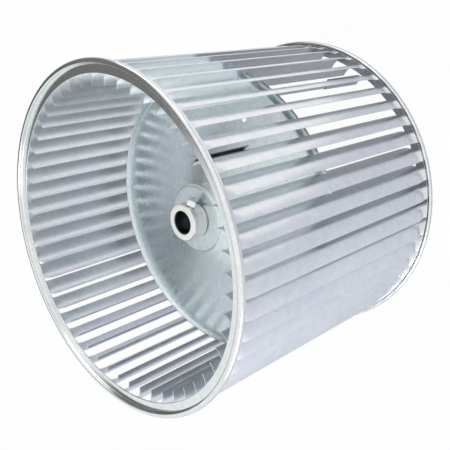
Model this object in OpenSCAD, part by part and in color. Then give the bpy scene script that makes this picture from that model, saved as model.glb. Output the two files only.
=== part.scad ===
// Double-inlet forward-curved blower wheel, standing on one end ring.
// Z is the wheel's axis. The floor plane is the outer face of the lower ring.
// The set screw stands out along +X.

/* [Wheel] */
// Outside diameter of the end rings
wheel_d = 279.4; // [260:0.1:300]
// Overall width from ring face to ring face
wheel_w = 241.3; // [220:0.1:260]

/* [Blades] */
// Number of blades
blade_count = 51; // [42:1:53]
// Radial depth of a blade
blade_depth = 16.8; // [14:0.1:18]
// Angle round the wheel from a blade's inner edge to its outer edge
blade_sweep = 6.83; // [5:0.01:7.5]
// Angle that a blade's curve turns through
blade_turn = 86; // [60:1:96]
// Sheet thickness of a blade
blade_t = 0.6; // [0.4:0.05:0.9]
// Angle of the first blade's inner edge from the set screw
blade_phase = -1.72; // [-3:0.01:3]
// Height over which a blade's outer edge draws in at each ring
bend_h = 5; // [3:0.5:8]
// Radial distance that the outer edge draws in
bend_in = 0.3; // [0.15:0.05:0.8]
// Height of the slanted cut at a blade's inner corners
corner_h = 0.9; // [0.3:0.1:2]
// Height of the slant at the top of a blade's notch
notch_slant = 3.0; // [1.5:0.1:5]

/* [End rings] */
// Sheet thickness of the end rings
ring_t = 1.0; // [0.7:0.05:1.2]
// Width of the inlet flange inside the bead
flange_w = 7.1; // [5:0.1:8.5]
// Distance from the bead's face back to the flange
flange_back = 3.6; // [2.6:0.1:5]
// Width of the rolled bead
bead_w = 4.2; // [3.8:0.1:5.5]
// Depth of the bead's outer wall
bead_h = 4.9; // [3.6:0.1:7]
// Radius of the bead's rolled edges
bead_r = 1.5; // [1.3:0.1:1.8]
// Gap left between the bead's rolled-in lip and its inner wall
bead_gap = 0.5; // [0.35:0.05:0.8]

/* [Centre disc] */
// Vertical thickness of the disc's sheet
disc_t = 1.5; // [1.2:0.1:2]
// Height of the hub pad above the wheel's mid plane
pad_rise = 30.8; // [20:0.1:36]
// Radius of the flat hub pad
pad_r = 28.4; // [24:0.1:36]
// Height of the step round the pad
pad_step = 1.6; // [1:0.1:2.5]
// Width of the shelf from the crease at the cone's foot out to the rim's fold
shelf_w = 12.1; // [9.5:0.1:20]
// Height of the crease above the wheel's mid plane
crease_rise = 9.6; // [8:0.1:12]
// Height of the shelf's outer edge above the wheel's mid plane
shelf_rise = 6.7; // [5.5:0.1:7.5]
// Height of the rim's fold above the shelf
fold_rise = 4.1; // [3:0.1:6]
// Width of the fold from its foot to its outer wall
fold_w = 4.3; // [3.6:0.1:5.5]
// Height of the ledge at the fold's foot
ledge_h = 1.0; // [0.5:0.1:1.4]
// Height of the rolled hem's underside above the wheel's mid plane
hem_rise = 1.0; // [0:0.1:1.5]
// Diameter of the rolled hem
hem_d = 3.8; // [3:0.1:4.4]
// Gap between the disc's rim and the notches in the blades
rim_gap = 0.02; // [0.01:0.01:0.15]
// Diameter of the locating hole in the cone
disc_hole_d = 5.5; // [4:0.1:8]
// Distance of the locating hole from the axis
disc_hole_at = 96; // [60:0.5:98]
// Angle of the locating hole from the set screw
disc_hole_turn = -4.5; // [-30:0.5:30]

/* [Hub] */
// Bore of the hub
bore_d = 19.05; // [15.8:0.05:20]
// Outside diameter of the hub
hub_d = 31.75; // [28:0.05:34]
// Height of the hub above the pad
hub_rise = 14.9; // [14:0.1:22]
// Length of the hub below the pad
hub_drop = 7.3; // [6:0.1:12]
// Diameter of the neck that passes through the disc
neck_d = 26.4; // [24:0.1:27.5]
// Thickness of the swaged collar under the disc
collar_t = 3.2; // [2:0.1:4]
// Chamfer at the mouths of the bore
bore_chamfer = 0.9; // [0.4:0.1:1.2]
// Chamfer round the hub's ends
rim_chamfer = 0.6; // [0.3:0.1:1]

/* [Set screw] */
// Diameter of the set screw
screw_d = 7.8; // [6:0.1:8.2]
// Width of the square head across its flats
head_w = 7.94; // [7:0.01:9]
// Height of the square head
head_h = 5.7; // [4.5:0.1:7]
// Gap between the head and the hub as the screw stands
head_gap = 0.9; // [0.4:0.1:1.5]
// Turn of the square head about the screw
head_turn = 28; // [0:1:89]
// Radial gap between the screw and its hole
screw_gap = 0.05; // [0.02:0.01:0.1]
// Height of the screw above the pad
screw_at = 8.1; // [7:0.1:8.4]

/* [Balance clips] */
// Length of a balance clip
clip_len = 47; // [30:1:60]
// Depth of a balance clip over the blade's edge
clip_deep = 8.5; // [6:0.1:10]
// Sheet thickness of a balance clip
clip_t = 0.7; // [0.5:0.05:0.9]
// Blades from the upper clip's blade round to the set screw
upper_clip_back = 3; // [0:1:41]
// Blades from the lower clip's blade round to the set screw
lower_clip_back = 0; // [0:1:41]

/* [Hidden] */
$fn = 96;
eps = 0.01;
// Length that a cut runs past the faces it goes through
spare = 5;
blade_names = [for (i = [1 : blade_count]) str("blade_", i)];

galvanised = [0.72, 0.75, 0.77];
blade_tone = [0.78, 0.80, 0.82];
disc_tone = [0.60, 0.65, 0.67];
hub_tone = [0.84, 0.84, 0.80];
screw_tone = [0.88, 0.89, 0.90];
clip_tone = [0.86, 0.87, 0.90];

wheel_r = wheel_d / 2;
mid_z = wheel_w / 2;
pitch = 360 / blade_count;

// The blades reach out to the bead's inner wall and stand between the flanges.
blade_out = wheel_r - bead_w + ring_t;
blade_in = blade_out - blade_depth;
blade_end = flange_back + ring_t;
ring_in = wheel_r - bead_w - flange_w;

// A blade's section is an arc whose chord joins its inner and outer edges.
edge_in = [blade_in, 0];
edge_out = blade_out * [cos(blade_sweep), -sin(blade_sweep)];
chord = edge_out - edge_in;
half_chord = norm(chord) / 2;
curve_r = half_chord / sin(blade_turn / 2);
chord_dir = chord / norm(chord);
curve_c = (edge_in + edge_out) / 2
    + curve_r * cos(blade_turn / 2) * [chord_dir.y, -chord_dir.x];
start_a = atan2(-curve_c.y, blade_in - curve_c.x);
middle_a = start_a - blade_turn / 2;
// Angle that the band runs on past each edge before it is cut to length
band_over = 12;
bend_r = (pow(bend_h, 2) + pow(bend_in, 2)) / (2 * bend_in);
bend_steps = 5;

// Heights of the disc's near face.
pad_z = mid_z + pad_rise;
cone_z = pad_z - pad_step;
crease_z = mid_z + crease_rise;
shelf_z = mid_z + shelf_rise;
pad_slope_w = 1.6;

// The fold starts at the blades' inner edges, rises to a narrow crest and comes
// down in an outer wall, which ends in the rolled hem.
foot_r = blade_in;
crease_r = foot_r - shelf_w;
ledge_w = 1.0;
ledge_slope = 0.2;
crest_z = shelf_z + fold_rise;
crest_w = 0.6;
crest_bevel = 0.5;
fold_wall_t = 1.1;
wall_out = foot_r + fold_w;
wall_in = wall_out - fold_wall_t;
// Depth of solid sheet under the crest, and its thickness at the foot
crest_deep = 1.8;
foot_deep = 1.4;
hem_r = hem_d / 2;
hem_z = mid_z + hem_rise + hem_r;
hem_at = wall_in + hem_r;

// Each blade is notched round the disc's rim.
notch_low = hem_z - hem_r - rim_gap;
notch_step = hem_z + hem_r + rim_gap;
notch_high = crest_z + rim_gap;
notch_out = hem_at + hem_r + rim_gap;

hub_top = pad_z + hub_rise;
hub_low = pad_z - hub_drop;
hub_r = hub_d / 2;
neck_r = neck_d / 2;
bore_r = bore_d / 2;
neck_gap = 0.02;
groove_h = 0.8;
groove_deep = 0.9;
// The swaged collar stands out past the hub, and the tail below it steps in
collar_out = 0.6;
tail_in = 1;
collar_r = hub_r + collar_out;
collar_top = pad_z - disc_t;
tail_r = hub_r - tail_in;

screw_z = pad_z + screw_at;
head_low = hub_r + head_gap;
head_top = head_low + head_h;
shank_r = screw_d / 2;
// The screw's tip stops short of the bore
tip_back = 0.1;
screw_tip = bore_r + tip_back;
tip_chamfer = 0.9;
cup_deep = 0.8;
cup_lip = 0.6;
// The head's top is domed at its corners
corner_r = head_w / 2 * sqrt(2);
dome_drop = 1.3;
dome_in = 2.4;

// Quarter of a round bend in sheet, with its centre at the origin.
module sheet_bend(outer, t, from) {
    intersection() {
        difference() {
            circle(r = outer);
            circle(r = outer - t);
        }
        rotate(from) square(outer + eps);
    }
}

// Section of an end ring, with its outer face at height 0.
module ring_section() {
    bead_in = wheel_r - bead_w;
    translate([bead_in + bead_r, bead_r]) sheet_bend(bead_r, ring_t, 180);
    translate([wheel_r - bead_r, bead_r]) sheet_bend(bead_r, ring_t, 270);
    translate([bead_in + bead_r - eps, 0])
        square([bead_w - 2 * bead_r + 2 * eps, ring_t]);
    translate([wheel_r - ring_t, bead_r - eps])
        square([ring_t, bead_h - 2 * bead_r + 2 * eps]);
    translate([wheel_r - bead_r, bead_h - bead_r]) sheet_bend(bead_r, ring_t, 0);
    translate([blade_out + bead_gap, bead_h - ring_t])
        square([wheel_r - bead_r - blade_out - bead_gap + eps, ring_t]);
    translate([bead_in, bead_r - eps])
        square([ring_t, flange_back + ring_t - bead_r + eps]);
    translate([ring_in, flange_back])
        square([flange_w + ring_t, ring_t]);
}

module end_ring() {
    color(galvanised)
        rotate_extrude($fn = 180) ring_section();
}

module lower_end_ring() {
    end_ring();
}

module upper_end_ring() {
    translate([0, 0, wheel_w]) mirror([0, 0, 1]) end_ring();
}

// Band of the blade's arc, wide enough to be cut to length afterwards.
module curve_band() {
    intersection() {
        translate(curve_c) difference() {
            circle(r = curve_r + blade_t / 2);
            circle(r = curve_r - blade_t / 2);
        }
        polygon([
            curve_c,
            band_point(start_a + band_over),
            band_point(middle_a),
            band_point(start_a - blade_turn - band_over)
        ]);
    }
}

// Point well outside the blade's arc, at an angle from the arc's centre.
function band_point(a) = curve_c + 3 * curve_r * [cos(a), sin(a)];

// Half outline of the space that a blade fills, turned round the axis.
function bend_points() = [
    for (i = [0 : bend_steps])
        let (a = asin(bend_h / bend_r) * (1 - i / bend_steps))
        [blade_out - bend_r * (1 - cos(a)), blade_end + bend_h - bend_r * sin(a)]
];

module blade_space() {
    low = bend_points();
    high = [for (i = [len(low) - 1 : -1 : 0]) [low[i].x, wheel_w - low[i].y]];
    corner_in = [blade_in, blade_end + corner_h];
    corner_out = [ring_in, blade_end];
    notch = [
        [blade_in, notch_high + notch_slant],
        [wall_in, notch_high],
        [wall_out + rim_gap, notch_high],
        [wall_out + rim_gap, notch_step],
        [notch_out, notch_step],
        [notch_out, notch_low],
        [blade_in, notch_low]
    ];
    rotate_extrude($fn = 180)
        polygon(concat([corner_in, corner_out], low, high,
            [[corner_out.x, wheel_w - corner_out.y], [corner_in.x, wheel_w - corner_in.y]],
            notch));
}

module blade(i) {
    color(blade_tone)
        rotate(blade_phase + (i - 1) * pitch)
            intersection() {
                linear_extrude(wheel_w) curve_band();
                blade_space();
            }
}

module disc_section() {
    dish = [
        [neck_r + neck_gap, pad_z],
        [pad_r, pad_z],
        [pad_r + pad_slope_w, cone_z],
        [crease_r, crease_z]
    ];
    fold = [
        [foot_r, shelf_z],
        [foot_r, shelf_z + ledge_h],
        [foot_r + ledge_w, shelf_z + ledge_h + ledge_slope],
        [wall_out - 2 * crest_bevel - crest_w, crest_z - crest_bevel],
        [wall_out - crest_bevel - crest_w, crest_z],
        [wall_out - crest_bevel, crest_z],
        [wall_out, crest_z - crest_bevel],
        [wall_out, hem_z + hem_r],
        [hem_at, hem_z + hem_r],
        [hem_at, hem_z - hem_r],
        [wall_in, hem_z - hem_r],
        [wall_in, crest_z - crest_deep],
        [foot_r + foot_deep, shelf_z - disc_t]
    ];
    under = [for (i = [len(dish) - 1 : -1 : 0]) dish[i] - [0, disc_t]];
    polygon(concat(dish, fold, under));
}

// Round outer side of the rolled hem
module hem_section() {
    translate([hem_at - eps, hem_z]) intersection() {
        circle(r = hem_r);
        translate([0, -hem_d]) square(2 * hem_d);
    }
}

module centre_disc() {
    color(disc_tone)
        difference() {
            union() {
                rotate_extrude($fn = 180) disc_section();
                rotate_extrude($fn = 180) hem_section();
            }
            rotate(disc_hole_turn)
                translate([disc_hole_at, 0, mid_z])
                    cylinder(d = disc_hole_d, h = pad_rise);
        }
}

module hub_section() {
    polygon([
        [bore_r + bore_chamfer, hub_low],
        [tail_r - rim_chamfer, hub_low],
        [tail_r, hub_low + rim_chamfer],
        [tail_r, collar_top - collar_t],
        [collar_r, collar_top - collar_t + rim_chamfer],
        [collar_r, collar_top],
        [neck_r, collar_top],
        [neck_r, pad_z],
        [hub_r - groove_deep, pad_z],
        [hub_r - groove_deep, pad_z + groove_h],
        [hub_r, pad_z + groove_h],
        [hub_r, hub_top - rim_chamfer],
        [hub_r - rim_chamfer, hub_top],
        [bore_r + bore_chamfer, hub_top],
        [bore_r, hub_top - bore_chamfer],
        [bore_r, hub_low + bore_chamfer]
    ]);
}

module hub() {
    color(hub_tone)
        difference() {
            rotate_extrude($fn = 120) hub_section();
            translate([0, 0, screw_z]) rotate([0, 90, 0])
                cylinder(d = screw_d + 2 * screw_gap, h = hub_r + spare, $fn = 64);
        }
}

// Turned form of the screw along its own axis, from the axis of the wheel.
module screw_section() {
    polygon([
        [0, screw_tip + cup_deep],
        [shank_r - tip_chamfer - cup_lip, screw_tip],
        [shank_r - tip_chamfer, screw_tip],
        [shank_r, screw_tip + tip_chamfer],
        [shank_r, head_low],
        [corner_r, head_low],
        [corner_r, head_top - dome_drop],
        [corner_r - dome_in, head_top],
        [0, head_top]
    ]);
}

module set_screw() {
    color(screw_tone)
        translate([0, 0, screw_z]) rotate([0, 90, 0])
            intersection() {
                rotate_extrude($fn = 64) screw_section();
                union() {
                    cylinder(d = screw_d + eps, h = head_low + eps, $fn = 64);
                    rotate(head_turn)
                        translate([-head_w / 2, -head_w / 2, head_low])
                            cube([head_w, head_w, head_h + spare]);
                }
            }
}

// Section of a clip on the inner edge of the blade at angle 0.
// One leg is straight and the other follows the blade's hollow side.
module clip_section() {
    outer = clip_t + blade_t / 2;
    nose = blade_in - eps;
    translate([nose, 0]) intersection() {
        difference() {
            circle(r = outer, $fn = 48);
            circle(r = blade_t / 2, $fn = 48);
        }
        translate([-2 * outer, -outer]) square([2 * outer, 2 * outer]);
    }
    translate([nose, blade_t / 2]) square([clip_deep, clip_t]);
    intersection() {
        translate(curve_c) difference() {
            circle(r = curve_r - blade_t / 2);
            circle(r = curve_r - blade_t / 2 - clip_t);
        }
        translate([nose, -clip_deep]) square([clip_deep, clip_deep]);
    }
}

module balance_clip(blade_no, z) {
    color(clip_tone)
        rotate(blade_phase + (blade_no - 1) * pitch)
            translate([0, 0, z]) linear_extrude(clip_len) clip_section();
}

module lower_balance_clip() {
    balance_clip(blade_count - lower_clip_back, blade_end + corner_h);
}

module upper_balance_clip() {
    balance_clip(blade_count - upper_clip_back, wheel_w - blade_end - corner_h - clip_len);
}

upper_end_ring();
lower_end_ring();
centre_disc();
hub();
set_screw();
upper_balance_clip();
lower_balance_clip();
for (i = [1 : blade_count])
    blade(i);
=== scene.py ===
# %% [markdown]
# A blower wheel is a cage of curved blades between two rolled end rings, carried by
# a dished disc and a bored hub. All of it is zinc-coated sheet except the turned hub,
# its set screw and two spring clips. The exact solids come in first, and this lesson
# models each piece again, with the forms that a solid model leaves plain, and gives it
# its finish.

# %% Load the part
import math

import bpy
from mathutils import Matrix
from mathutils import Vector


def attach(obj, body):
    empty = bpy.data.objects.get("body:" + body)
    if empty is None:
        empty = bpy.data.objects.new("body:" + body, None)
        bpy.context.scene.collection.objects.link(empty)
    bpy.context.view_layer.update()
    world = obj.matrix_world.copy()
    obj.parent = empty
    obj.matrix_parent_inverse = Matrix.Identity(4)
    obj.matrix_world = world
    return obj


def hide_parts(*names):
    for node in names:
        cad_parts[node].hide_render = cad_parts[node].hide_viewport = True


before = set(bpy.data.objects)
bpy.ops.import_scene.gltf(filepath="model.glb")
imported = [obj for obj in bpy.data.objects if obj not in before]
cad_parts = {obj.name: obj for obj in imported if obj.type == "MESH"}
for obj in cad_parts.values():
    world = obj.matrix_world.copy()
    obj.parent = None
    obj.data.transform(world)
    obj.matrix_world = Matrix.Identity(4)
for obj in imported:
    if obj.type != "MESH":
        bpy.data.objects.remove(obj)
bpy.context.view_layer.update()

# %% [markdown]
# The wheel stands on its lower ring, and the camera looks down into the upper inlet
# from one side, rolled over, so that the wheel's axis points to the lower left of the
# picture. A camera could be turned by three angles, but three directions at right
# angles are easier to read: where it looks, what is up and what is right.

# %% Camera
CAMERA_AT = Vector((0.29566, -0.30981, 0.50644))
LOOK = Vector((-0.52945, 0.52180, -0.66889)).normalized()
UP = Vector((0.81662, 0.52707, -0.23522))
LENS_MM = 51.94

right = LOOK.cross(UP).normalized()
true_up = right.cross(LOOK)
turn = Matrix((right, true_up, -LOOK)).transposed().to_4x4()
camera_data = bpy.data.cameras.new("camera")
camera_data.lens = LENS_MM
camera_data.sensor_width = 36
camera_data.clip_start = 0.01
camera = bpy.data.objects.new("camera", camera_data)
camera.matrix_world = Matrix.Translation(CAMERA_AT) @ turn
bpy.context.collection.objects.link(camera)
bpy.context.scene.camera = camera
print("camera at", tuple(CAMERA_AT), "lens", LENS_MM, "mm")

# %% [markdown]
# Every new piece is drawn the way it would be drawn by hand. A plane is drawn in to
# one point, and that point is extruded along the piece's section or edge. Sizes are
# written in millimetres, and one function turns them to the metres of the scene.

# %% Helpers for modelling
MM = 0.001
# Points that are closer than this, in metres, are one point
MERGE_GAP = 0.000002


def mm(values):
    return tuple(v * MM for v in values)


def start_point(name, at):
    bpy.ops.object.select_all(action="DESELECT")
    # Any size does, because the plane is drawn in to its middle
    bpy.ops.mesh.primitive_plane_add(size=0.01, location=(0, 0, 0))
    piece = bpy.context.active_object
    piece.name = name
    piece.data.name = name
    bpy.ops.object.mode_set(mode="EDIT")
    bpy.ops.mesh.select_mode(type="VERT")
    bpy.ops.mesh.merge(type="CENTER")
    bpy.ops.transform.translate(value=mm(at))
    return piece


def draw_line(points):
    for last, point in zip(points, points[1:]):
        step = [b - a for a, b in zip(last, point)]
        bpy.ops.mesh.extrude_region_move(TRANSFORM_OT_translate={"value": mm(step)})


def close_up():
    bpy.ops.mesh.select_all(action="SELECT")
    bpy.ops.mesh.remove_doubles(threshold=MERGE_GAP)
    bpy.ops.mesh.normals_make_consistent(inside=False)


def pick_only(piece):
    bpy.ops.object.select_all(action="DESELECT")
    piece.select_set(True)
    bpy.context.view_layer.objects.active = piece


def apply_modifier(piece, kind, **settings):
    modifier = piece.modifiers.new(kind.lower(), kind)
    for name, value in settings.items():
        setattr(modifier, name, value)
    bpy.context.view_layer.objects.active = piece
    bpy.ops.object.modifier_apply(modifier=modifier.name)


def smooth(piece, degrees):
    pick_only(piece)
    bpy.ops.object.shade_smooth_by_angle(angle=math.radians(degrees))
    # Large faces keep their own flat light, and only the folds beside them bend it
    apply_modifier(piece, "WEIGHTED_NORMAL", weight=100, keep_sharp=True)


def own_copy(piece, name):
    twin = piece.copy()
    twin.data = piece.data.copy()
    twin.name = name
    twin.data.name = name
    bpy.context.collection.objects.link(twin)
    return twin


def select_points(piece, wanted):
    """Select what a test picks. The test is given each point's place in millimetres"""
    bpy.ops.mesh.select_all(action="DESELECT")
    bpy.ops.object.mode_set(mode="OBJECT")
    count = 0
    for point in piece.data.vertices:
        point.select = wanted(point.co / MM)
        count += point.select
    bpy.ops.object.mode_set(mode="EDIT")
    return count


def select_faces(piece, wanted):
    bpy.ops.object.mode_set(mode="EDIT")
    bpy.ops.mesh.select_mode(type="FACE")
    bpy.ops.mesh.select_all(action="DESELECT")
    bpy.ops.object.mode_set(mode="OBJECT")
    for face in piece.data.polygons:
        face.select = wanted(face)
    bpy.ops.object.mode_set(mode="EDIT")


print("one metre is", 1 / MM, "mm")

# %% [markdown]
# Sheet metal never has a sharp corner: each fold has a radius, and the light runs along
# it as a fine line. This function takes the corners of a closed section and a radius
# for each, and gives the points of the section with every corner drawn as an arc.

# %% Round the corners of a section


def rounded(corners, arc_steps=5):
    outline = []
    for i, (r, z, radius) in enumerate(corners):
        here = Vector((r, z))
        before = Vector(corners[i - 1][:2]) - here
        after = Vector(corners[(i + 1) % len(corners)][:2]) - here
        if radius == 0:
            outline.append((r, 0, z))
            continue
        half = before.angle(after) / 2
        reach = radius / math.tan(half)
        before.normalize()
        after.normalize()
        middle = here + (before + after).normalized() * (radius / math.sin(half))
        spokes = [here + way * reach - middle for way in (before, after)]
        first, last = [math.atan2(spoke.y, spoke.x) for spoke in spokes]
        sweep = (last - first + math.pi) % (2 * math.pi) - math.pi
        for step in range(arc_steps + 1):
            a = first + sweep * step / arc_steps
            outline.append((middle.x + radius * math.cos(a), 0, middle.y + radius * math.sin(a)))
    return outline


def turn_section(name, corners, steps, arc_steps=5):
    outline = rounded(corners, arc_steps)
    piece = start_point(name, outline[0])
    draw_line(outline + outline[:1])
    bpy.ops.mesh.select_all(action="SELECT")
    bpy.ops.mesh.spin(steps=steps, angle=2 * math.pi, center=(0, 0, 0), axis=(0, 0, 1))
    close_up()
    bpy.ops.object.mode_set(mode="OBJECT")
    return piece


print("a square with 1 mm corners has",
      len(rounded([(9, 9, 1), (0, 9, 1), (0, 0, 1), (9, 0, 1)])), "points")

# %% [markdown]
# Each end ring is one strip of sheet, rolled to a hoop. Its inner part is the flat
# flange that the blades' ends stand on. Its outer part is folded forward and curled
# over into a bead, which leaves a thin dark gap behind it. A torus would be too plain,
# so the true section of the fold is drawn and turned round the axis. The second ring
# is a copy, mirrored to the other end.

# %% End rings
WHEEL_W = 241.3
# Radius, height above the ring's outer face, and fold radius of each corner
RING_SECTION = [
    (128.4, 3.6, 0.35), (135.5, 3.6, 0.8), (135.5, 0.0, 0.9), (139.68, 0.0, 2.4),
    (139.68, 4.9, 1.5), (137.8, 4.9, 0.35), (137.8, 3.9, 0.35), (138.7, 3.9, 0.4),
    (138.7, 1.0, 0.5), (136.5, 1.0, 0.5), (136.5, 4.6, 0.2), (128.4, 4.6, 0.35),
]
lower_ring = turn_section("lower_ring_sheet", RING_SECTION, steps=240)

upper_ring = own_copy(lower_ring, "upper_ring_sheet")
pick_only(upper_ring)
bpy.ops.object.mode_set(mode="EDIT")
bpy.ops.mesh.select_all(action="SELECT")
bpy.ops.transform.resize(value=(1, 1, -1), center_override=(0, 0, WHEEL_W / 2 * MM))
close_up()
bpy.ops.object.mode_set(mode="OBJECT")

# The light on a mirrored mesh comes out wrong unless it is smoothed after the mirroring
for ring, node in ((lower_ring, "lower_end_ring"), (upper_ring, "upper_end_ring")):
    smooth(ring, 35)
    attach(ring, "wheel")
    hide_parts(node)
    print(ring.name, [round(v / MM, 2) for v in ring.dimensions], len(ring.data.polygons))

# %% [markdown]
# A blade's section is part of a circle that joins the blade's inner edge to its outer
# edge. The circle's centre follows from the two edges and the angle that the curve
# turns through.

# %% Curve of a blade
BLADE_IN = 119.7
BLADE_OUT = 136.5
# How far round the wheel the outer edge trails, and the angle that the curve turns through
BLADE_SWEEP = math.radians(6.83)
BLADE_TURN = math.radians(86)
BLADE_T = 0.6
inner_edge = Vector((BLADE_IN, 0))
outer_edge = BLADE_OUT * Vector((math.cos(BLADE_SWEEP), -math.sin(BLADE_SWEEP)))
chord = outer_edge - inner_edge
CURVE_R = chord.length / 2 / math.sin(BLADE_TURN / 2)
across = Vector((chord.y, -chord.x)).normalized()
curve_centre = (inner_edge + outer_edge) / 2 + across * CURVE_R * math.cos(BLADE_TURN / 2)
start_angle = math.atan2(inner_edge.y - curve_centre.y, inner_edge.x - curve_centre.x)


def reach_at(angle):
    a = start_angle - angle
    return (curve_centre + CURVE_R * Vector((math.cos(a), math.sin(a)))).length


def turn_to(radius):
    """Halve the curve again and again, to find where it is at this radius"""
    low, high = 0.0, BLADE_TURN
    for _ in range(40):
        middle = (low + high) / 2
        if reach_at(middle) < radius:
            low = middle
        else:
            high = middle
    return low


print("curve radius", round(CURVE_R, 2), "mm, centre", [round(v, 2) for v in curve_centre])

# %% [markdown]
# One blade is a strip of thin sheet. Its inner edge is drawn as an upright line of
# points, and spin carries that line along the curve in small steps, with a column of
# points at each radius where the cut-out for the disc's rim turns. A solid modifier
# could cut the notch later, but a clean grid of four-sided faces takes the light better.

# %% Strip of one blade
BLADE_END = 4.6
# Heights of the rows of points near one end, close together where the corner bends
END_ROWS = [BLADE_END, 5.8, 7.1, 8.5, 10.0, 11.8, 14.0, 17.0, 24.0, 45.0, 80.0]
# The notch's underside, the step over the hem and the crest of the disc's fold
NOTCH_ROWS = [121.63, 125.47, 131.47]
rows = END_ROWS + NOTCH_ROWS + [WHEEL_W - z for z in reversed(END_ROWS)]
NOTCH_COLUMNS = [121.3, 122.9, 124.02, 125.4, 126.72, 128.4]
stops = [turn_to(r) for r in NOTCH_COLUMNS]
TAIL_STEPS = 11
tail = (BLADE_TURN - stops[-1]) / TAIL_STEPS
stops += [stops[-1] + tail * (i + 1) for i in range(TAIL_STEPS)]

blade = start_point("blade_sheet", (BLADE_IN, 0, rows[0]))
draw_line([(BLADE_IN, 0, z) for z in rows])
bpy.ops.mesh.select_all(action="SELECT")
here = 0.0
for stop in stops:
    # Spin turns clockwise round an axis that points at the eye
    bpy.ops.mesh.spin(steps=1, angle=stop - here, center=(*mm(curve_centre), 0),
                      axis=(0, 0, 1))
    here = stop
close_up()
bpy.ops.object.mode_set(mode="OBJECT")
widest = max(point.co.xy.length for point in blade.data.vertices) / MM
print("blade strip:", len(blade.data.polygons), "faces, out to", round(widest, 2), "mm")

# %% [markdown]
# The disc's rim is folded up and hemmed, and each blade is cut out round it. The faces
# inside the cut-out are deleted, and the row above it is slanted. The blade's inner
# corners are cut at a slight slant too, and each outer corner is pressed inwards where
# the ring was rolled over it. Proportional editing spreads that dent over 10 mm.

# %% Notch and corners of the blade
NOTCH_LOW, NOTCH_STEP, NOTCH_HIGH = NOTCH_ROWS
WALL_R = 124.02
HEM_R = 126.72


def in_notch(face):
    reach = face.center.xy.length / MM
    height = face.center.z / MM
    under_step = NOTCH_LOW < height < NOTCH_STEP and reach < HEM_R
    over_step = NOTCH_STEP < height < NOTCH_HIGH and reach < WALL_R
    return under_step or over_step


def on_grid(point, radius, height):
    """The grid's rows and columns stand much more than 0.05 mm apart"""
    return abs(point.xy.length - radius) < 0.05 and abs(point.z - height) < 0.05


select_faces(blade, in_notch)
bpy.ops.mesh.delete(type="FACE")
bpy.ops.mesh.select_mode(type="VERT")

# The slants' rise at the blade's inner edge, and the radii where they end
NOTCH_SLANT = 3.0
CREST_R = 122.9
CORNER_H = 0.9
SLANT_END = 128.4
for reach in [BLADE_IN] + NOTCH_COLUMNS[:-1]:
    share = (SLANT_END - reach) / (SLANT_END - BLADE_IN)
    for row, rise in ((BLADE_END, CORNER_H), (WHEEL_W - BLADE_END, -CORNER_H)):
        select_points(blade, lambda point: on_grid(point, reach, row))
        bpy.ops.transform.translate(value=mm((0, 0, rise * share)))
    if reach < CREST_R:
        rise = NOTCH_SLANT * (CREST_R - reach) / (CREST_R - BLADE_IN)
        select_points(blade, lambda point: on_grid(point, reach, NOTCH_HIGH))
        bpy.ops.transform.translate(value=mm((0, 0, rise)))

DENT = 2.4
DENT_REACH = 10.0
inwards = -outer_edge.normalized() * DENT
for row in (BLADE_END, WHEEL_W - BLADE_END):
    picked = select_points(blade, lambda point: on_grid(point, BLADE_OUT, row))
    bpy.ops.transform.translate(value=mm((inwards.x, inwards.y, 0)),
                                use_proportional_edit=True,
                                proportional_edit_falloff="LINEAR",
                                proportional_size=DENT_REACH * MM)
bpy.ops.object.mode_set(mode="OBJECT")
print("outer corners drawn in by", DENT, "mm, points picked at each:", picked)

# %% [markdown]
# Solidify gives the strip the thickness of the sheet, and a small bevel rounds the cut
# edges, which is what makes the fine bright line along every blade. The finished blade
# is then copied 51 times round the wheel, each copy with its own mesh, and the turn of
# each copy is applied to its mesh.

# %% Thickness and copies of the blade
BLADE_EDGE_R = 0.14
apply_modifier(blade, "SOLIDIFY", thickness=BLADE_T * MM, offset=0, use_even_offset=True)
apply_modifier(blade, "BEVEL", width=BLADE_EDGE_R * MM, segments=2, limit_method="ANGLE",
               angle_limit=math.radians(50))
smooth(blade, 40)
BLADES = 51
FIRST_TURN = math.radians(-1.72)
blades = [own_copy(blade, "blade_sheet_%d" % (i + 1)) for i in range(BLADES)]
bpy.data.objects.remove(blade)
bpy.ops.object.select_all(action="DESELECT")
for i, piece in enumerate(blades):
    piece.rotation_euler.z = FIRST_TURN + i * 2 * math.pi / BLADES
    piece.select_set(True)
bpy.context.view_layer.objects.active = blades[0]
bpy.ops.object.transform_apply(location=False, rotation=True, scale=False)
for i, piece in enumerate(blades):
    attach(piece, "wheel")
    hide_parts("blade_%d" % (i + 1))
print(BLADES, "blades of", len(blades[0].data.polygons), "faces each")

# %% [markdown]
# The centre disc is pressed from one round of sheet: a flat pad for the hub, a long
# cone, a shelf, and a rim folded up over the blades' notches and rolled under into a
# hem. Pressing leaves soft corners, so each corner of the section has its own radius.
# Turning the section gives the whole disc, and a boolean cuts the locating hole.

# %% Centre disc
PAD_Z = 151.45
# Radius, height and corner radius, along the upper face and back along the lower one
DISC_SECTION = [
    (13.22, PAD_Z, 0.1), (28.4, PAD_Z, 2.0), (30.0, 149.85, 1.6), (107.6, 130.25, 4.0),
    (119.7, 127.35, 0.25), (119.7, 128.35, 0.3), (120.7, 128.55, 0.4), (122.4, 130.95, 0.4),
    (122.9, 131.45, 0.2), (123.5, 131.45, 0.2), (124.0, 130.95, 0.2), (124.0, 125.45, 0.0),
    (124.8, 125.45, 0.0), (125.75, 125.195, 0.0), (126.446, 124.5, 0.0), (126.7, 123.55, 0.0),
    (126.446, 122.6, 0.0), (125.75, 121.905, 0.0), (124.8, 121.65, 0.0), (122.9, 121.65, 0.3),
    (122.9, 129.65, 0.4), (121.1, 125.85, 1.0), (107.6, 128.75, 4.0), (30.0, 148.35, 1.6),
    (28.4, 149.95, 1.6), (13.22, 149.95, 0.1),
]
disc = turn_section("disc_sheet", DISC_SECTION, steps=240, arc_steps=4)

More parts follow.
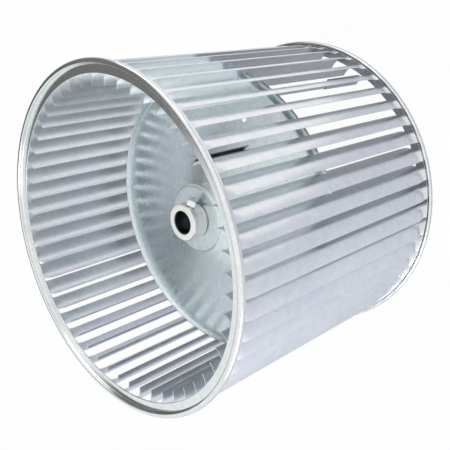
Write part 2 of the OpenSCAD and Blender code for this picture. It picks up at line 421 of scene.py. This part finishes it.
HOLE_R = 2.75
HOLE_AT = 96.0
HOLE_TURN = math.radians(-4.5)
HOLE_Z = 132
PUNCH_LEN = 20
bpy.ops.object.select_all(action="DESELECT")
bpy.ops.mesh.primitive_cylinder_add(
    vertices=48, radius=HOLE_R * MM, depth=PUNCH_LEN * MM,
    location=mm((HOLE_AT * math.cos(HOLE_TURN), HOLE_AT * math.sin(HOLE_TURN), HOLE_Z)))
punch = bpy.context.active_object
apply_modifier(disc, "BOOLEAN", object=punch, operation="DIFFERENCE", solver="EXACT")
bpy.data.objects.remove(punch)
smooth(disc, 30)
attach(disc, "wheel")
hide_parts("centre_disc")
print(disc.name, [round(v / MM, 2) for v in disc.dimensions], len(disc.data.polygons))

# %% [markdown]
# The hub is turned from a bar and swaged into the disc. Its section has the bore, the
# chamfers, a small groove where it leaves the pad, and the swaged collar beneath. It is
# turned like the disc, and a boolean drills the hole for the set screw.

# %% Hub
BORE_R = 9.525
HUB_R = 15.875
HUB_TOP = 166.35
HUB_LOW = 144.15
SCREW_Z = 159.55
SCREW_HOLE_R = 3.95
# Radius, height and corner radius, up the collar and the side and down the bore
HUB_SECTION = [
    (BORE_R + 0.9, HUB_LOW, 0.1), (14.275, HUB_LOW, 0.15), (14.875, HUB_LOW + 0.6, 0.15),
    (14.875, 146.75, 0.2), (16.475, 147.35, 0.3), (16.475, 149.95, 0.1), (13.2, 149.95, 0.0),
    (13.2, PAD_Z, 0.0), (14.975, PAD_Z, 0.0), (14.975, 152.25, 0.1), (HUB_R, 152.25, 0.15),
    (HUB_R, HUB_TOP - 0.6, 0.3), (HUB_R - 0.6, HUB_TOP, 0.3), (BORE_R + 0.9, HUB_TOP, 0.3),
    (BORE_R, HUB_TOP - 0.9, 0.3), (BORE_R, HUB_LOW + 0.9, 0.3),
]
hub = turn_section("hub_turned", HUB_SECTION, steps=160, arc_steps=3)

# The drill starts inside the bore and comes out of one side only
DRILL_LEN = 20
DRILL_MIDDLE = 14
bpy.ops.object.select_all(action="DESELECT")
bpy.ops.mesh.primitive_cylinder_add(
    vertices=64, radius=SCREW_HOLE_R * MM, depth=DRILL_LEN * MM,
    location=mm((DRILL_MIDDLE, 0, SCREW_Z)), rotation=(0, math.radians(90), 0))
drill = bpy.context.active_object
apply_modifier(hub, "BOOLEAN", object=drill, operation="DIFFERENCE", solver="EXACT")
bpy.data.objects.remove(drill)
smooth(hub, 25)
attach(hub, "wheel")
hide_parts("hub")
print(hub.name, [round(v / MM, 2) for v in hub.dimensions], len(hub.data.polygons))

# %% [markdown]
# The set screw clamps the hub to the shaft. Its thread is 5/16 inch with 18 turns to
# the inch. One tooth of it is drawn as a short line, and the Screw modifier winds that
# line up the shank. Two bisect cuts trim the ends square and close them.

# %% Thread of the set screw
PITCH = 25.4 / 18
CREST = 3.9
ROOT = 3.25
TIP = 9.625
HEAD_LOW = 16.775
HEAD_TOP = 22.475
TURNS = 7
# One tooth of the thread, with its flanks and its narrow flat crest
tooth = [(ROOT, 0, 0), (ROOT, 0, 0.14), (CREST, 0, 0.62), (CREST, 0, 0.79),
         (ROOT, 0, 1.27), (ROOT, 0, PITCH)]
thread_low = TIP - PITCH
screw = start_point("set_screw_turned", (ROOT, 0, thread_low))
draw_line([(x, y, z + thread_low) for x, y, z in tooth])
bpy.ops.object.mode_set(mode="OBJECT")
apply_modifier(screw, "SCREW", angle=2 * math.pi, screw_offset=PITCH * MM, iterations=TURNS,
               steps=48, render_steps=48, use_merge_vertices=True, merge_threshold=MERGE_GAP / 2)
bpy.ops.object.mode_set(mode="EDIT")
close_up()
# Height of the point below the thread, and how far the shank goes into the head
END_H = 0.5
HEAD_LAP = 0.2
# The usual threshold, 0.1 mm, is as large as the thread's small faces
CUT_GAP = 0.0000001
for height, lower in ((TIP + END_H, True), (HEAD_LOW + HEAD_LAP, False)):
    bpy.ops.mesh.select_all(action="SELECT")
    bpy.ops.mesh.bisect(plane_co=mm((0, 0, height)), plane_no=(0, 0, 1), use_fill=True,
                        clear_inner=lower, clear_outer=not lower, threshold=CUT_GAP)
close_up()
bpy.ops.object.mode_set(mode="OBJECT")
print("shank:", [round(v / MM, 2) for v in screw.dimensions], len(screw.data.polygons), "faces")

# %% [markdown]
# The point is a short cup that bites into the shaft. The thread's flat end is extruded
# and drawn in for its chamfer, then again inwards for the cup. The head is a
# square with its corners rounded over, as forging leaves them. It starts as a cube, a
# turned dome trims its corners, and a boolean joins it to the shank. The screw is then
# laid along the hole.

# %% Point and head of the set screw


def at_thread_end(face):
    return face.normal.z < -0.99 and abs(face.center.z / MM - TIP - END_H) < 0.02


# How far the end face moves along the axis, and the share that it is then drawn in to,
# for the chamfer, the rim of the cup and the floor of the cup
POINT_STEPS = [(-END_H, 0.86), (0, 0.82), (0.7, 0.3)]
select_faces(screw, at_thread_end)
for travel, share in POINT_STEPS:
    bpy.ops.mesh.extrude_region_move(TRANSFORM_OT_translate={"value": mm((0, 0, travel))})
    bpy.ops.transform.resize(value=(share, share, 1), center_override=mm((0, 0, TIP)))
close_up()
bpy.ops.object.mode_set(mode="OBJECT")

HEAD_W = 7.94
HEAD_TURN = math.radians(28)
HEAD_EDGE_R = 0.22
head_mid = (HEAD_LOW + HEAD_TOP) / 2
bpy.ops.object.select_all(action="DESELECT")
bpy.ops.mesh.primitive_cube_add(size=1, location=mm((0, 0, head_mid)))
head = bpy.context.active_object
head.dimensions = mm((HEAD_W, HEAD_W, HEAD_TOP - HEAD_LOW))
head.rotation_euler.z = HEAD_TURN
bpy.ops.object.transform_apply(location=True, rotation=True, scale=True)
# Radius, height and corner radius. The section starts just off the axis
DOME_SECTION = [
    (0.002, HEAD_LOW - 1, 0.0), (3.7, HEAD_LOW - 1, 0.0), (5.45, HEAD_LOW + 0.7, 0.3),
    (5.45, HEAD_TOP - 1.5, 0.8), (3.3, HEAD_TOP, 0.8), (0.002, HEAD_TOP, 0.0),
]
dome = turn_section("head_dome", DOME_SECTION, steps=96, arc_steps=6)
apply_modifier(head, "BOOLEAN", object=dome, operation="INTERSECT", solver="EXACT")
apply_modifier(head, "BEVEL", width=HEAD_EDGE_R * MM, segments=3, limit_method="ANGLE",
               angle_limit=math.radians(40))
apply_modifier(screw, "BOOLEAN", object=head, operation="UNION", solver="MANIFOLD")
for spare in (head, dome):
    bpy.data.objects.remove(spare)
pick_only(screw)
screw.rotation_euler = (0, math.radians(90), 0)
screw.location = mm((0, 0, SCREW_Z))
bpy.ops.object.transform_apply(location=True, rotation=True, scale=False)
smooth(screw, 35)
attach(screw, "screw")
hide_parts("set_screw")

# %% [markdown]
# A balance clip is a strip of spring steel folded over a blade's inner edge. One leg
# runs straight, the other follows the blade's hollow side, and a round nose joins them.
# The fold is drawn as one line, extruded to its length and made solid.

# %% Balance clips
CLIP_LEN = 47.0
CLIP_DEEP = 8.5
CLIP_T = 0.7
CLIP_EDGE_R = 0.15
# The nose bends round a line that lies 0.01 mm in front of the blade's edge
nose_x = BLADE_IN - 0.01
# Distance of each leg's middle from the middle of the blade's sheet
leg = (BLADE_T + CLIP_T) / 2
NOSE_STEPS = 10
fold = [(nose_x + CLIP_DEEP, leg), (nose_x + CLIP_DEEP / 2, leg)]
for i in range(NOSE_STEPS + 1):
    a = math.pi / 2 + math.pi * i / NOSE_STEPS
    fold.append((nose_x + leg * math.cos(a), leg * math.sin(a)))
LEG_STEPS = 9
hollow_r = CURVE_R - leg
for i in range(1, LEG_STEPS + 1):
    x = nose_x + CLIP_DEEP * i / LEG_STEPS
    drop = math.sqrt(hollow_r ** 2 - (x - curve_centre.x) ** 2)
    fold.append((x, curve_centre.y + drop))
CLIP_ROWS = 8
# Blade that each clip is on, counted from 0, and the height of the clip's lower end
CLIPS = {"lower_balance_clip": (50, BLADE_END + CORNER_H),
         "upper_balance_clip": (47, WHEEL_W - BLADE_END - CORNER_H - CLIP_LEN)}
for node, (number, low) in CLIPS.items():
    clip = start_point(node + "_strip", (*fold[0], low))
    draw_line([(x, y, low) for x, y in fold])
    bpy.ops.mesh.select_all(action="SELECT")
    for _ in range(CLIP_ROWS):
        bpy.ops.mesh.extrude_region_move(
            TRANSFORM_OT_translate={"value": mm((0, 0, CLIP_LEN / CLIP_ROWS))})
    close_up()
    bpy.ops.object.mode_set(mode="OBJECT")
    apply_modifier(clip, "SOLIDIFY", thickness=CLIP_T * MM, offset=0, use_even_offset=True)
    apply_modifier(clip, "BEVEL", width=CLIP_EDGE_R * MM, segments=2, limit_method="ANGLE",
                   angle_limit=math.radians(50))
    clip.rotation_euler.z = FIRST_TURN + number * 2 * math.pi / BLADES
    pick_only(clip)
    bpy.ops.object.transform_apply(location=False, rotation=True, scale=False)
    smooth(clip, 40)
    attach(clip, "wheel")
    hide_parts(node)
    print(clip.name, len(clip.data.polygons), "faces")

# %% [markdown]
# Colours are written as screen values, the way a paint chart gives them, and a shader
# works with linear light. One function turns the first into the second. One helper
# adds a shader node, sets it and links it, so that each material reads as a list of
# its steps.

# %% Helpers for materials


def linear(code):
    channels = [int(code[i:i + 2], 16) / 255 for i in (0, 2, 4)]
    light = [c / 12.92 if c <= 0.04045 else ((c + 0.055) / 1.055) ** 2.4 for c in channels]
    return (*light, 1.0)


def add_node(tree, kind, settings=None, links=None):
    node = tree.nodes.new(kind)
    for name, value in (settings or {}).items():
        if isinstance(name, int) or name in node.inputs:
            node.inputs[name].default_value = value
        else:
            setattr(node, name, value)
    for name, source in (links or {}).items():
        tree.links.new(source, node.inputs[name])
    return node


def new_material(name):
    material = bpy.data.materials.new(name)
    material.use_nodes = True
    material.node_tree.nodes.clear()
    return material


print("mid grey 808080 is", round(linear("808080")[0], 3), "in linear light")

# %% [markdown]
# Galvanised sheet is steel dipped in zinc. The zinc freezes in flat crystals called
# spangle, each a few millimetres across and each with its own shade and gloss. Cell
# noise gives every crystal a random value. That value moves the colour and the
# roughness a little, and a slow noise under it makes the duller patches that handling
# leaves. A photograph of zinc would do it too, but not at a known scale.

# %% Galvanised sheet


def galvanised(name, pale, deep, spangle_mm, rough, rough_spread, bump_mm):
    material = new_material(name)
    tree = material.node_tree
    place = add_node(tree, "ShaderNodeTexCoord")
    # Object coordinates are in metres, and this turns them to millimetres
    in_mm = add_node(tree, "ShaderNodeMapping", {"Scale": (1000, 1000, 1000)},
                     {"Vector": place.outputs["Object"]})
    # The crystals' edges wander by about a third of their width
    wander = add_node(tree, "ShaderNodeTexNoise",
                      {"Scale": 1.4 / spangle_mm, "Detail": 2.0, "Roughness": 0.6},
                      {"Vector": in_mm.outputs["Vector"]})
    shift = add_node(tree, "ShaderNodeVectorMath",
                     {"operation": "MULTIPLY_ADD", 1: (spangle_mm, spangle_mm, spangle_mm)},
                     {0: wander.outputs["Color"], 2: in_mm.outputs["Vector"]})
    # One cell is one crystal, spangle_mm across
    cells = add_node(tree, "ShaderNodeTexVoronoi", {"Scale": 1.0 / spangle_mm},
                     {"Vector": shift.outputs["Vector"]})
    crystal = add_node(tree, "ShaderNodeSeparateColor", {},
                       {"Color": cells.outputs["Color"]})
    # Slow patches, about 40 mm across
    patches = add_node(tree, "ShaderNodeTexNoise",
                       {"Scale": 1.0 / 40, "Detail": 3.0, "Roughness": 0.55},
                       {"Vector": in_mm.outputs["Vector"]})
    shade = add_node(tree, "ShaderNodeMath", {"operation": "MULTIPLY_ADD", 1: 0.45},
                     {0: crystal.outputs["Red"], 2: patches.outputs["Fac"]})
    level = add_node(tree, "ShaderNodeMapRange", {"From Min": 0.35, "From Max": 1.15},
                     {"Value": shade.outputs["Value"]})
    colour = add_node(tree, "ShaderNodeMix",
                      {"data_type": "RGBA", 6: linear(deep), 7: linear(pale)},
                      {0: level.outputs["Result"]})
    gloss = add_node(tree, "ShaderNodeMath", {"operation": "MULTIPLY_ADD", 1: 0.6},
                     {0: crystal.outputs["Green"], 2: patches.outputs["Fac"]})
    roughness = add_node(tree, "ShaderNodeMapRange",
                         {"From Min": 0.3, "From Max": 1.2,
                          "To Min": rough - rough_spread, "To Max": rough + rough_spread},
                         {"Value": gloss.outputs["Value"]})
    # Orange-peel of the zinc, about 2 mm from crest to crest
    peel = add_node(tree, "ShaderNodeTexNoise", {"Scale": 1.0 / 2, "Detail": 3.0},
                    {"Vector": in_mm.outputs["Vector"]})
    relief = add_node(tree, "ShaderNodeBump", {"Strength": 0.35, "Distance": bump_mm / 1000},
                      {"Height": peel.outputs["Fac"]})
    steel = add_node(tree, "ShaderNodeBsdfPrincipled", {"Metallic": 1.0},
                     {"Base Color": colour.outputs[2],
                      "Roughness": roughness.outputs["Result"],
                      "Normal": relief.outputs["Normal"]})
    add_node(tree, "ShaderNodeOutputMaterial", {}, {"Surface": steel.outputs["BSDF"]})
    return material


# Rolling polishes the rings, so they mirror more sharply than the rest
ring_steel = galvanised("galvanised steel, rings", pale="f2f4f4", deep="e3e6e7",
                        spangle_mm=2.5, rough=0.17, rough_spread=0.03, bump_mm=0.001)
# The blades' coating is the palest, and it blurs what it mirrors
blade_steel = galvanised("galvanised steel, blades", pale="f9fafc", deep="e9edf1",
                         spangle_mm=4.0, rough=0.32, rough_spread=0.05, bump_mm=0.006)
# The disc is a little bluer and darker, with a small spangle
disc_steel = galvanised("galvanised steel, disc", pale="eaf3f5", deep="d0dcdf",
                        spangle_mm=2.5, rough=0.31, rough_spread=0.05, bump_mm=0.005)
print("made", ring_steel.name, "and", blade_steel.name, "and", disc_steel.name)

# %% [markdown]
# The hub is turned from bar, so its face and its side carry fine rings from the tool.
# They are finer than the mesh could hold. A noise stretched round the axis makes them:
# it reads only the distance from the axis and the height.

# %% Turned steel


def turned(name, pale, deep, line_mm, rough, bump_mm, centre, lie):
    material = new_material(name)
    tree = material.node_tree
    place = add_node(tree, "ShaderNodeTexCoord")
    # The piece's own axis is brought to the origin and to Z, in millimetres
    in_mm = add_node(tree, "ShaderNodeMapping",
                     {"vector_type": "TEXTURE", "Location": centre, "Rotation": lie,
                      "Scale": (MM, MM, MM)},
                     {"Vector": place.outputs["Object"]})
    axes = add_node(tree, "ShaderNodeSeparateXYZ", {}, {"Vector": in_mm.outputs["Vector"]})
    flat = add_node(tree, "ShaderNodeCombineXYZ", {},
                    {"X": axes.outputs["X"], "Y": axes.outputs["Y"]})
    radius = add_node(tree, "ShaderNodeVectorMath", {"operation": "LENGTH"},
                      {0: flat.outputs["Vector"]})
    profile = add_node(tree, "ShaderNodeCombineXYZ", {},
                       {"X": radius.outputs["Value"], "Z": axes.outputs["Z"]})
    # Tool lines, line_mm apart
    lines = add_node(tree, "ShaderNodeTexNoise", {"Scale": 1.0 / line_mm, "Detail": 2.0},
                     {"Vector": profile.outputs["Vector"]})
    # Faint stains, about 8 mm across
    stain = add_node(tree, "ShaderNodeTexNoise", {"Scale": 0.12, "Detail": 4.0},
                     {"Vector": in_mm.outputs["Vector"]})
    shade = add_node(tree, "ShaderNodeMath", {"operation": "MULTIPLY_ADD", 1: 0.5},
                     {0: lines.outputs["Fac"], 2: stain.outputs["Fac"]})
    level = add_node(tree, "ShaderNodeMapRange", {"From Min": 0.5, "From Max": 1.0},
                     {"Value": shade.outputs["Value"]})
    colour = add_node(tree, "ShaderNodeMix",
                      {"data_type": "RGBA", 6: linear(deep), 7: linear(pale)},
                      {0: level.outputs["Result"]})
    roughness = add_node(tree, "ShaderNodeMapRange",
                         {"To Min": rough - 0.07, "To Max": rough + 0.07},
                         {"Value": stain.outputs["Fac"]})
    relief = add_node(tree, "ShaderNodeBump", {"Strength": 0.5, "Distance": bump_mm / 1000},
                      {"Height": lines.outputs["Fac"]})
    steel = add_node(tree, "ShaderNodeBsdfPrincipled", {"Metallic": 1.0},
                     {"Base Color": colour.outputs[2],
                      "Roughness": roughness.outputs["Result"],
                      "Normal": relief.outputs["Normal"]})
    add_node(tree, "ShaderNodeOutputMaterial", {}, {"Surface": steel.outputs["BSDF"]})
    return material


WHEEL_AXIS = {"centre": (0, 0, 0), "lie": (0, 0, 0)}
SCREW_AXIS = {"centre": (0, 0, SCREW_Z * MM), "lie": (0, math.radians(90), 0)}
# A fresh cut is pale and a little warm, with a clear shine
hub_steel = turned("turned steel, hub", pale="f8f7f3", deep="ecece8", line_mm=0.35,
                   rough=0.18, bump_mm=0.012, **WHEEL_AXIS)
# The bore's dark, dull colour is partly oil and partly painted shade for the hollow inside
bore_oil_and_shade = turned("oiled steel with painted shade, bore", pale="5a6266", deep="353c40", line_mm=0.5,
                    rough=0.4, bump_mm=0.02, **WHEEL_AXIS)
# Zinc plate is pale and faintly blue, and softens the edges' glints
screw_steel = turned("zinc plated steel, set screw", pale="f4f5f7", deep="dfe2e6",
                     line_mm=0.25, rough=0.25, bump_mm=0.01, **SCREW_AXIS)
# Spring strip is rolled smooth, and its patches are too wide to show as spangle
clip_steel = galvanised("bright spring steel, clips", pale="f0f2f8", deep="d6dae4",
                        spangle_mm=12.0, rough=0.24, rough_spread=0.04, bump_mm=0.02)
print("made", hub_steel.name, "and", screw_steel.name, "and", clip_steel.name)

# %% [markdown]
# Every piece now gets its finish. A mesh can carry more than one, and each of its faces
# says which it shows. The hub uses that: one finish for its outside, and one for its bore,
# which is oiled and darkened with painted shade.

# %% Give the pieces their finishes


def finish_with(piece, *materials):
    piece.data.materials.clear()
    for material in materials:
        piece.data.materials.append(material)


for ring in (lower_ring, upper_ring):
    finish_with(ring, ring_steel)
for piece in blades:
    finish_with(piece, blade_steel)
finish_with(disc, disc_steel)
finish_with(hub, hub_steel, bore_oil_and_shade)
finish_with(screw, screw_steel)
for node in CLIPS:
    finish_with(bpy.data.objects[node + "_strip"], clip_steel)

# The bore and its chamfers show the hub's second finish, oiled steel darkened with painted shade
BORE_LOOK_R = BORE_R + 0.7
for face in hub.data.polygons:
    face.material_index = int(face.center.xy.length < BORE_LOOK_R * MM)
print("bore faces:", sum(face.material_index for face in hub.data.polygons))

# %% [markdown]
# The floor is a plain pale sheet, wide enough that the wheel's metal finds it
# wherever a reflection runs downwards. The wheel's shadow falls on it. A white card
# lies beside the wheel, as a photographer would lay one to lift the blades above it.

# %% Floor and card
FLOOR_W = 6.0
# The card lies just on the floor, turned to follow the wheel's side
CARD_SIZE = (0.5, 0.9)
CARD_AT = (0.33, 0.212, 0.0005)
CARD_TURN = math.radians(32.8)
# How much of the white that the camera sees is the sheet's own. The rest shows shadow
OWN_WHITE = 0.97


def paper(name, code, mirrored):
    """White where the camera looks, and a share of it where the metal mirrors it"""
    material = new_material(name)
    tree = material.node_tree
    path = add_node(tree, "ShaderNodeLightPath")
    seen = add_node(tree, "ShaderNodeMath", {"operation": "ADD"},
                    {0: path.outputs["Is Camera Ray"], 1: path.outputs["Is Transmission Ray"]})
    direct = add_node(tree, "ShaderNodeMath", {"operation": "MULTIPLY", 1: OWN_WHITE},
                      {0: seen.outputs["Value"]})
    glow = add_node(tree, "ShaderNodeMath", {"operation": "MULTIPLY_ADD", 1: mirrored},
                    {0: path.outputs["Is Glossy Ray"], 2: direct.outputs["Value"]})
    sheet = add_node(tree, "ShaderNodeBsdfDiffuse", {"Color": linear(code)})
    white = add_node(tree, "ShaderNodeEmission", {"Color": linear("ffffff"), "Strength": 1.0})
    both = add_node(tree, "ShaderNodeMixShader", {},
                    {0: glow.outputs["Value"], 1: sheet.outputs["BSDF"],
                     2: white.outputs["Emission"]})
    add_node(tree, "ShaderNodeOutputMaterial", {}, {"Surface": both.outputs["Shader"]})
    return material


def sheet_on_floor(name, size, at, angle, material):
    bpy.ops.object.select_all(action="DESELECT")
    bpy.ops.mesh.primitive_plane_add(size=1, location=at, rotation=(0, 0, angle))
    sheet = bpy.context.active_object
    sheet.name = name
    sheet.scale = (*size, 1)
    bpy.ops.object.transform_apply(location=True, rotation=True, scale=True)
    finish_with(sheet, material)


# Metal sees the floor mostly by the light that falls on it, so it mirrors the shadow too
floor_paper = paper("pale paper floor", "c4c7d2", mirrored=0.2)
card_paper = paper("white card", "f4f4f4", mirrored=0.85)
sheet_on_floor("floor", (FLOOR_W, FLOOR_W), (0, 0, 0), 0, floor_paper)
sheet_on_floor("card", CARD_SIZE, CARD_AT, CARD_TURN, card_paper)
print("floor", FLOOR_W, "m wide, with a card beside the wheel")

# %% [markdown]
# Metal shows its surroundings, so the room matters more than the lamps. The wheel in
# the picture lies on its side, so what is up there is CEILING here. Below that side's
# horizon the room is white, like the table. Above it the walls are pale grey, and the
# wall behind the wheel is darker, with a nearly black corner that the upper part of the
# flange mirrors. The front, where the photographer stands, is a white tent, and a white
# panel hangs overhead. A plain white room would leave the metal with no form. Each zone
# is a direction, with a soft edge between two angles from it.

# %% Room
CEILING = Vector((0.841, 0.541, 0.0))
FRONT = Vector((0.352, -0.548, 0.759))
BACK = Vector((-0.147, 0.708, 0.690))
BEHIND_CAGE = Vector((-0.541, 0.841, 0.0))
world = bpy.data.worlds.new("room")
bpy.context.scene.world = world
world.use_nodes = True
tree = world.node_tree
tree.nodes.clear()
place = add_node(tree, "ShaderNodeTexCoord")


def zone(direction, edge, full):
    """From 0 at the edge to 1 where the zone is full, both in degrees from its middle"""
    along = add_node(tree, "ShaderNodeVectorMath", {"operation": "DOT_PRODUCT", 1: direction},
                     {0: place.outputs["Generated"]})
    share = add_node(tree, "ShaderNodeMapRange",
                     {"interpolation_type": "SMOOTHSTEP",
                      "From Min": math.cos(math.radians(edge)),
                      "From Max": math.cos(math.radians(full))},
                     {"Value": along.outputs["Value"]})
    return share.outputs["Result"]


above = zone(CEILING, 96, 89)
behind = add_node(tree, "ShaderNodeMath", {"operation": "MULTIPLY"},
                  {0: above, 1: zone(BACK, 62, 48)}).outputs["Value"]
# Each colour is laid over the ones before it, where its zone is
layers = [
    ("c4ccce", above),
    ("777573", behind),
    ("3f4648", zone(BEHIND_CAGE, 34, 20)),
    ("ffffff", zone(FRONT, 80, 55)),
    ("f4f5f7", zone(CEILING, 40, 22)),
]
colour = add_node(tree, "ShaderNodeRGB").outputs["Color"]
colour.default_value = linear("f4f7f8")
for code, share in layers:
    colour = add_node(tree, "ShaderNodeMix", {"data_type": "RGBA", 7: linear(code)},
                      {0: share, 6: colour}).outputs[2]
sky = add_node(tree, "ShaderNodeBackground", {"Strength": 1.0}, {"Color": colour})
add_node(tree, "ShaderNodeOutputWorld", {}, {"Surface": sky.outputs["Background"]})
print("room made with", len(tree.nodes), "nodes")

# %% [markdown]
# Two soft lamps are enough beside such a bright room. The wide one gives the shadow its
# side, and the small low one lifts the floor in front of the wheel, which the blades
# there mirror. An area lamp shines along its own -Z, so it is turned to face its aim.

# %% Lamps
# Place, aim, width and height in metres, and power in watts
LAMPS = {
    "key lamp": ((1.15, 0.75, 0.55), (0, 0, 0.12), (1.4, 0.9), 3),
    "low side lamp": ((-0.4, -0.75, 0.35), (-0.08, -0.3, 0), (0.5, 0.3), 2.5),
}


def soft_lamp(name, at, aim, size, watts):
    data = bpy.data.lights.new(name, "AREA")
    data.shape = "RECTANGLE"
    data.size = size[0]
    data.size_y = size[1]
    data.energy = watts
    lamp = bpy.data.objects.new(name, data)
    lamp.location = at
    lamp.rotation_euler = (Vector(aim) - Vector(at)).to_track_quat("-Z", "Y").to_euler()
    bpy.context.collection.objects.link(lamp)


for name, settings in LAMPS.items():
    soft_lamp(name, *settings)
print("lamps:", list(LAMPS))

# %% [markdown]
# Standard shows each colour about as it is written.

# %% Finish
bpy.context.scene.view_settings.view_transform = "Standard"
